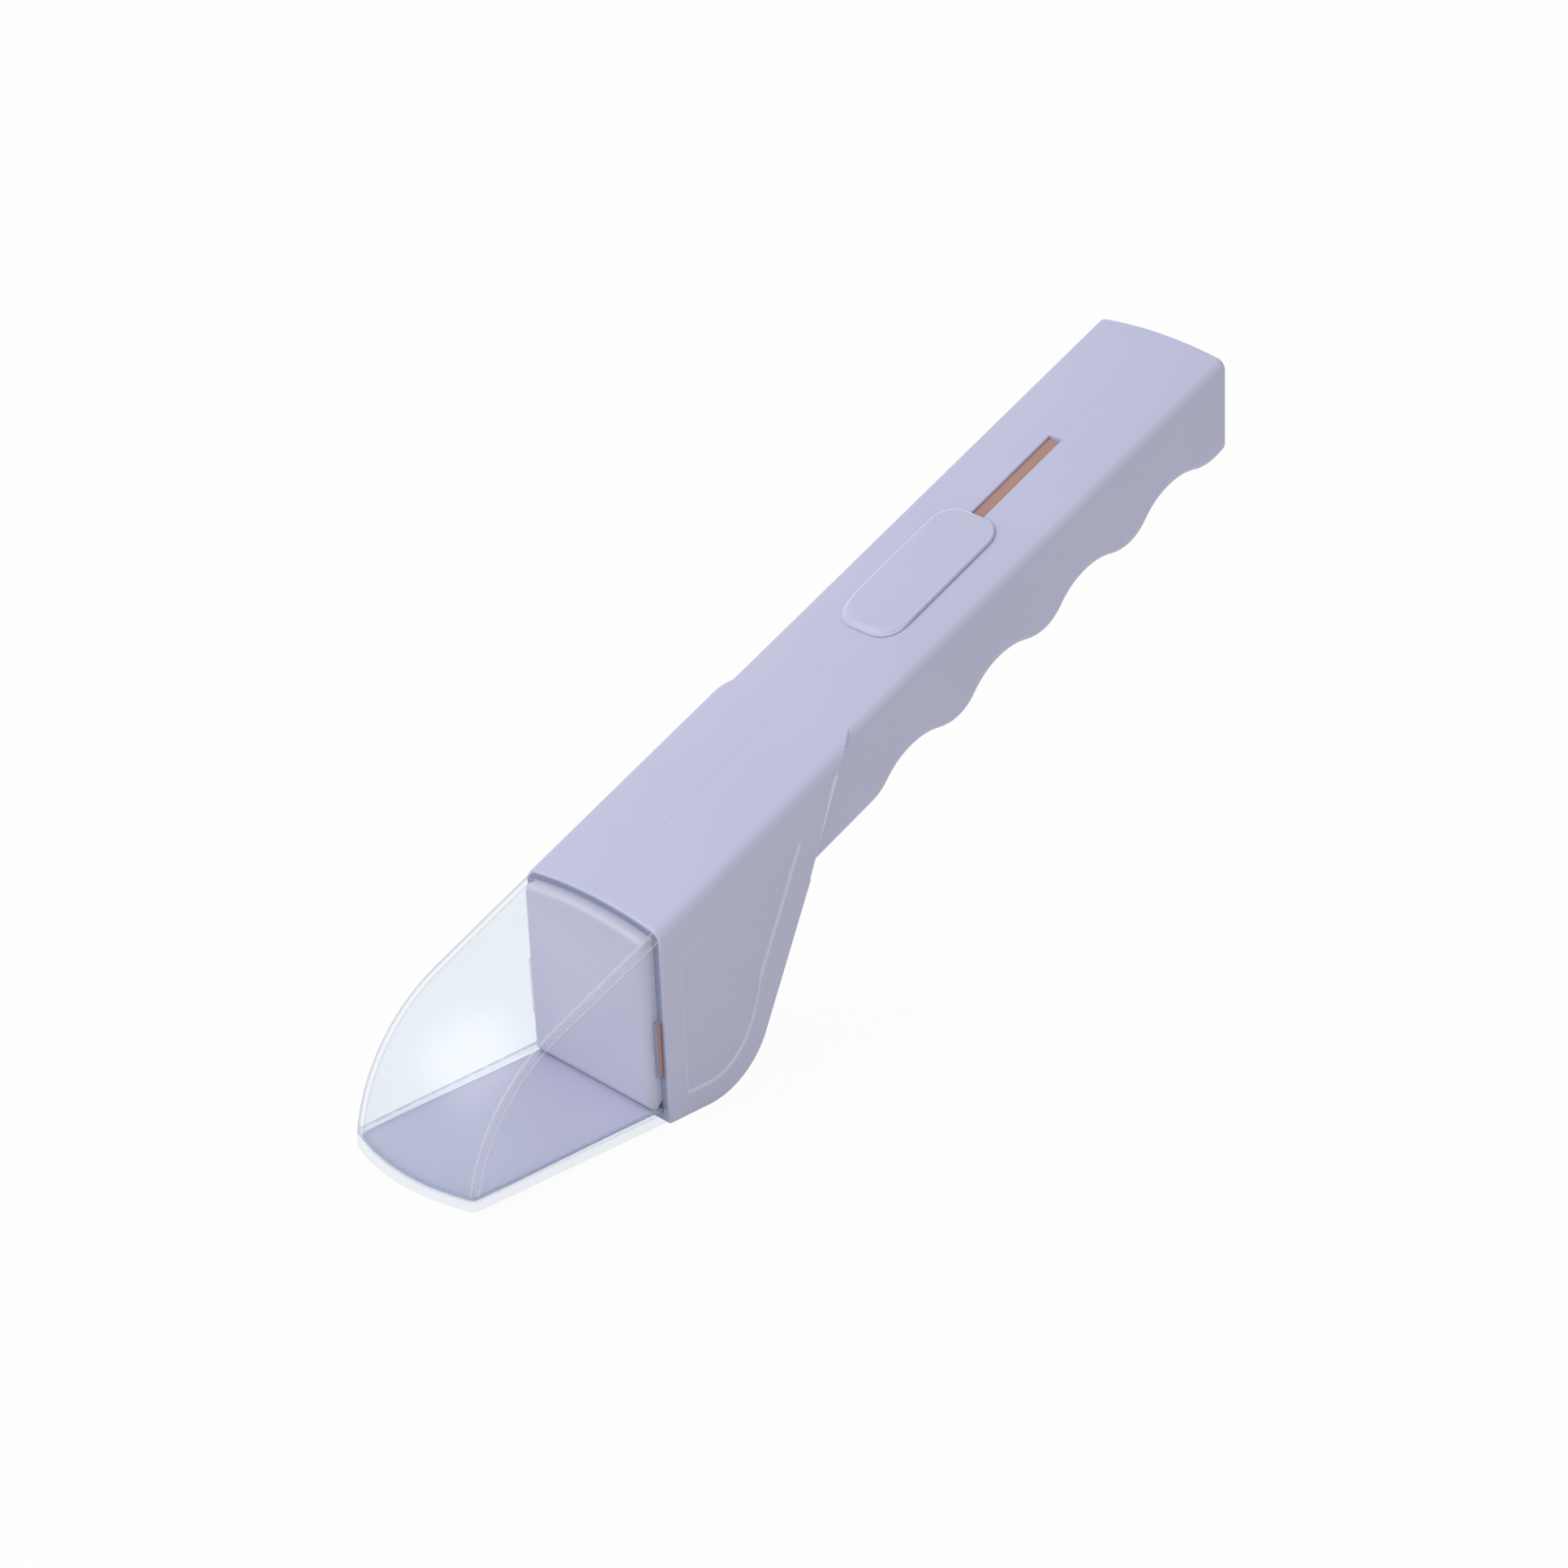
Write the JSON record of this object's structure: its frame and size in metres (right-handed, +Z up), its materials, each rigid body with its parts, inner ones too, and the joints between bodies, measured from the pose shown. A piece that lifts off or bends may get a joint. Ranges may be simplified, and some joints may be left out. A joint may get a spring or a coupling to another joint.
{
  "type": "sliding-door insect catcher",
  "caption": "Hand-held insect catcher: clear capture chamber with a sliding floor, two-shell grip with finger grooves and a thumb slider that opens the floor.",
  "frame": {"origin": "underside of the mouth's rim, in the middle of the chamber's front edge", "axes": "+X from the chamber's front towards the grip, +Y to the catcher's left, +Z up from the mouth"},
  "size_m": [0.2152, 0.0386, 0.1185],
  "materials": {
    "body": "satin moulded, lavender",
    "clear": "clear polished plastic",
    "inner": "moulded, copper brown",
    "sheet": "thin flexible sheet, lavender"
  },
  "bodies": {
    "housing": {"housing_left": "body", "housing_right": "body", "front_plug": "body", "capture_chamber": "clear", "chamber_catches": "inner", "slide_track": "inner", "strip_bend": "sheet"},
    "slider": {"thumb_button": "body", "slider_carriage": "inner", "strip_pull": "sheet"},
    "door": {"door_blade": "sheet"}
  },
  "joints": [
    {"name": "slider_slide", "type": "slide", "parent": "housing", "child": "slider", "axis": [0.9114, 0, 0.4115], "range_m": [0, 0.046]},
    {"name": "door_travel", "type": "hinge", "parent": "housing", "child": "door", "pos_m": [0.02297, 0, 0.05785], "axis": [0, -1, 0], "range_deg": [0, 50], "deforming": ["door_blade"]}
  ],
  "couplings": [
    {"joint": "door_travel", "follows": "slider_slide", "rad_per_m": 18.97}
  ]
}
